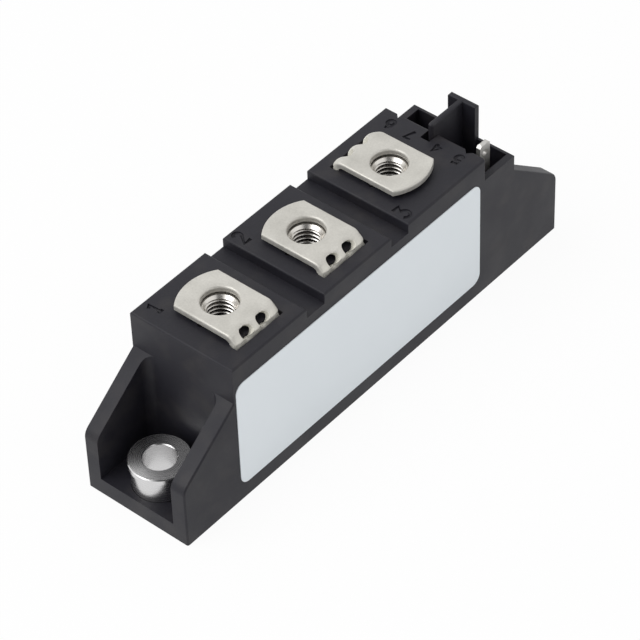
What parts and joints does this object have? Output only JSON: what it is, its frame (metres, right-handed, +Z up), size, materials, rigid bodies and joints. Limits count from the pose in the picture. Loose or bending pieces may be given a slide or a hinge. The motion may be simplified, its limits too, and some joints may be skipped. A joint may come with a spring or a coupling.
{
  "type": "dual diode module",
  "caption": "Flat dark moulded dual diode power module with screw terminals along its top, end troughs for mounting screws and plug pockets.",
  "frame": {"origin": "middle of the mounting face, midway between the two mounting holes", "axes": "+X along the length to the end with the plug pockets, +Z up from the mounting face, label on -Y"},
  "size_m": [0.0912, 0.0205, 0.0304],
  "materials": {
    "housing_plastic": "matt charcoal moulded plastic with a fine mottled grain",
    "base_nickel": "satin nickel plating on copper",
    "bush_metal": "bright turned and plated steel",
    "tinned_strap": "satin tin plating on copper",
    "nut_steel": "bright plated steel",
    "tab_tin": "bright tin plating on brass",
    "lead_copper": "bare copper strip",
    "ceramic_white": "white fired ceramic",
    "pad_copper": "bare copper",
    "chip_silicon": "polished silicon",
    "clip_copper": "bare copper strip",
    "gel_clear": "soft clear silicone",
    "resin_dark": "hard dark casting resin",
    "label_film": "pale blue-grey satin film, blank"
  },
  "bodies": {
    "root": {"housing": "housing_plastic", "base_plate": "base_nickel", "mounting_bush_near": "bush_metal", "mounting_bush_far": "bush_metal", "terminal_1": "tinned_strap", "terminal_2": "tinned_strap", "terminal_3": "tinned_strap", "terminal_nut_1": "nut_steel", "terminal_nut_2": "nut_steel", "terminal_nut_3": "nut_steel", "plug_tab": "tab_tin", "tab_lead": "lead_copper", "ceramic_insulator_1": "ceramic_white", "ceramic_insulator_2": "ceramic_white", "copper_pad_1": "pad_copper", "copper_pad_2": "pad_copper", "copper_pad_3": "pad_copper", "diode_chip_1": "chip_silicon", "diode_chip_2": "chip_silicon", "connector_clip_1": "clip_copper", "connector_clip_2": "clip_copper", "silicone_gel": "gel_clear", "casting_resin": "resin_dark", "label": "label_film"}
  },
  "joints": []
}
